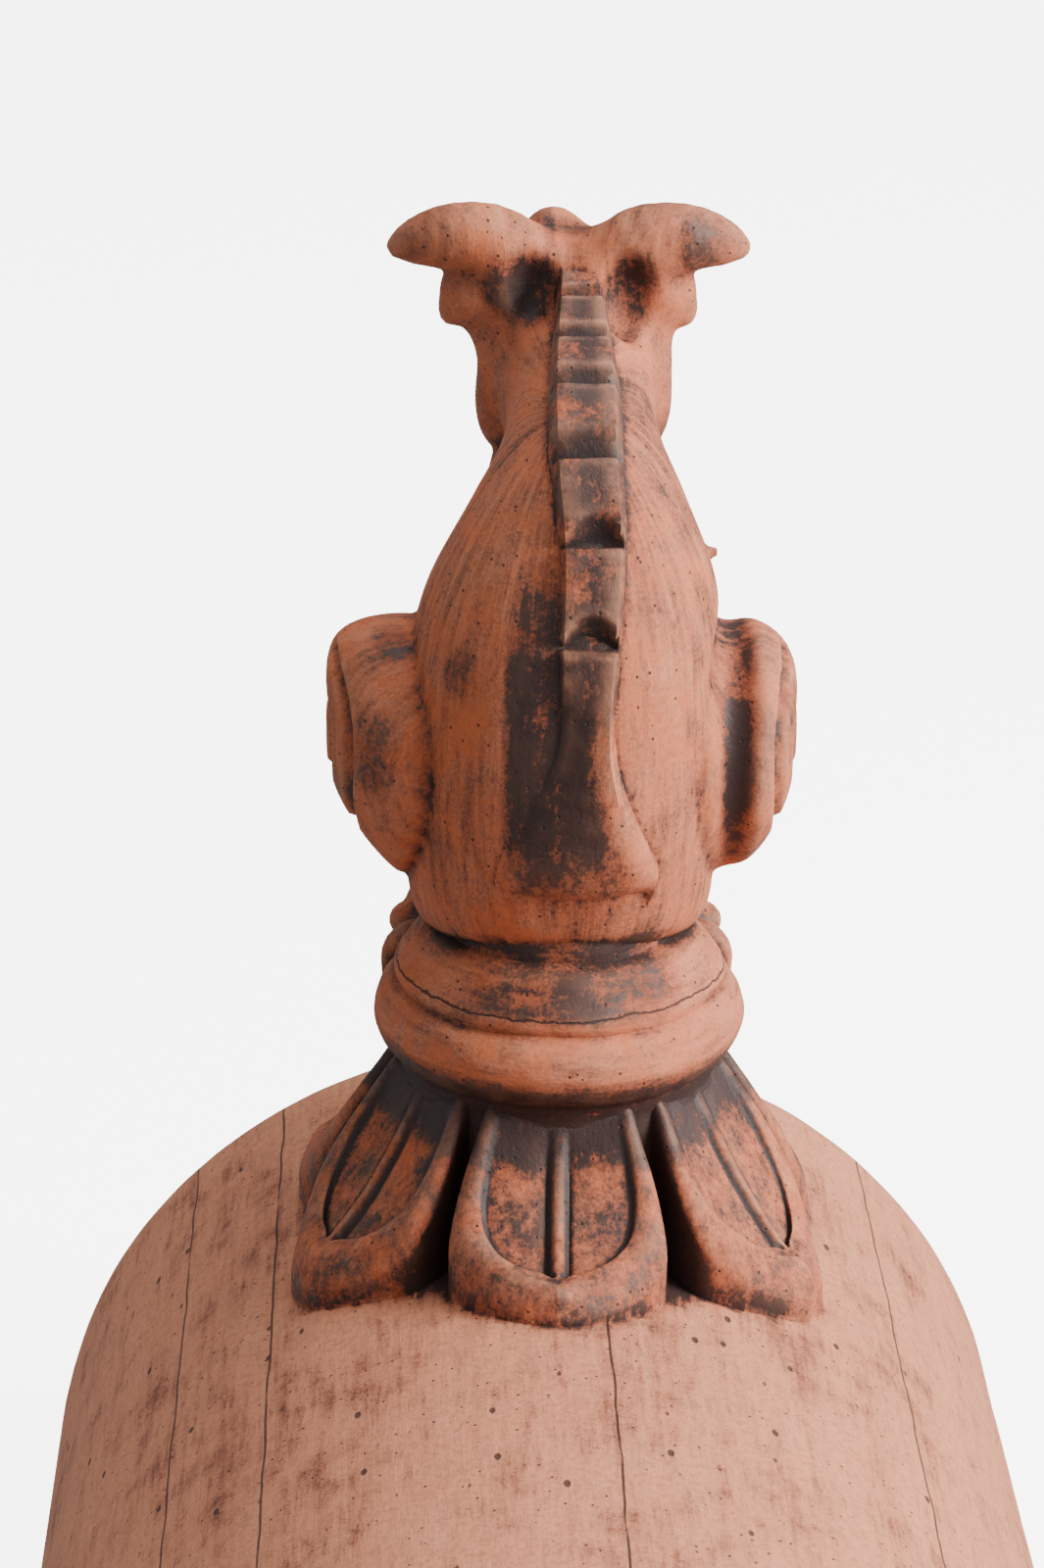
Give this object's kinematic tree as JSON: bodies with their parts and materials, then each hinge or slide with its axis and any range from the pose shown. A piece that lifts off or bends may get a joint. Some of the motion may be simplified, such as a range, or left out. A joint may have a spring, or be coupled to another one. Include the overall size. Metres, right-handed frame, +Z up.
{
  "type": "ridge tile ornament",
  "caption": "Half-round terracotta ridge tile carrying a seated horned guardian beast with a notched crest and shoulder scrolls on a lotus-petal pedestal.",
  "frame": {"origin": "middle of the tile's footprint, on the plane its two long edges rest on", "axes": "+Z up; Y along the ridge, with the beast facing +Y; X across the ridge"},
  "size_m": [0.3, 0.33, 0.4257],
  "materials": {
    "terracotta": "unglazed, matt, weathered with dark patina in the hollows"
  },
  "bodies": {
    "root": {"ridge_beast_tile": "terracotta"}
  },
  "joints": []
}
